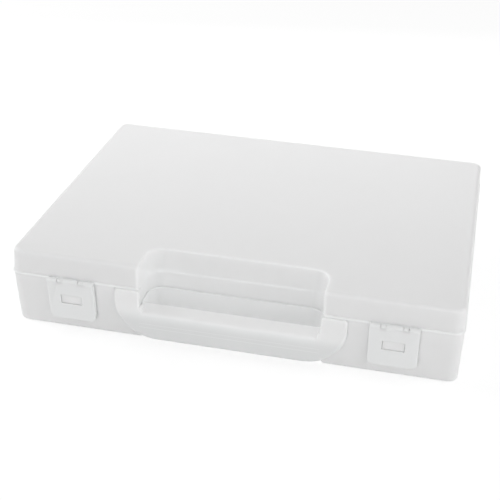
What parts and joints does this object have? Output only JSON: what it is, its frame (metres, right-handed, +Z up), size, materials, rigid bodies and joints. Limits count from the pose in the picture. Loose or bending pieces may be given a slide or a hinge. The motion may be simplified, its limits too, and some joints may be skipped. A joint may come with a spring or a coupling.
{
  "type": "photo keeper case",
  "caption": "Flat clip-lid carry case for photo prints, with a hinged lid, flip-up latches and a carry handle across a finger notch.",
  "frame": {"origin": "middle of the flat underside, on the surface that the case lies on", "axes": "+Z up through the lid, -Y towards the latches and the handle, +X to the right seen from the front"},
  "size_m": [0.375, 0.3019, 0.072],
  "materials": {
    "base": "frosted translucent natural polypropylene, moulded",
    "lid": "frosted translucent natural polypropylene, moulded",
    "handle": "satin translucent natural polypropylene, moulded",
    "latch": "satin translucent natural polypropylene, moulded",
    "pin": "natural acetal rod"
  },
  "bodies": {
    "base": {"base_tray": "base", "carry_handle": "handle", "hinge_pin_left": "pin", "hinge_pin_right": "pin"},
    "lid": {"lid_shell": "lid", "latch_pin_left": "pin", "latch_pin_right": "pin"},
    "left_latch": {"latch_left": "latch"},
    "right_latch": {"latch_right": "latch"}
  },
  "joints": [
    {"name": "lid_hinge", "type": "hinge", "parent": "base", "child": "lid", "pos_m": [0, 0.1487, 0.05015], "axis": [-1, 0, 0], "range_deg": [0, 180]},
    {"name": "left_latch_hinge", "type": "hinge", "parent": "lid", "child": "left_latch", "pos_m": [-0.1335, -0.1479, 0.0505], "axis": [-1, 0, 0], "range_deg": [0, 150]},
    {"name": "right_latch_hinge", "type": "hinge", "parent": "lid", "child": "right_latch", "pos_m": [0.1335, -0.1479, 0.0505], "axis": [-1, 0, 0], "range_deg": [0, 150]}
  ]
}
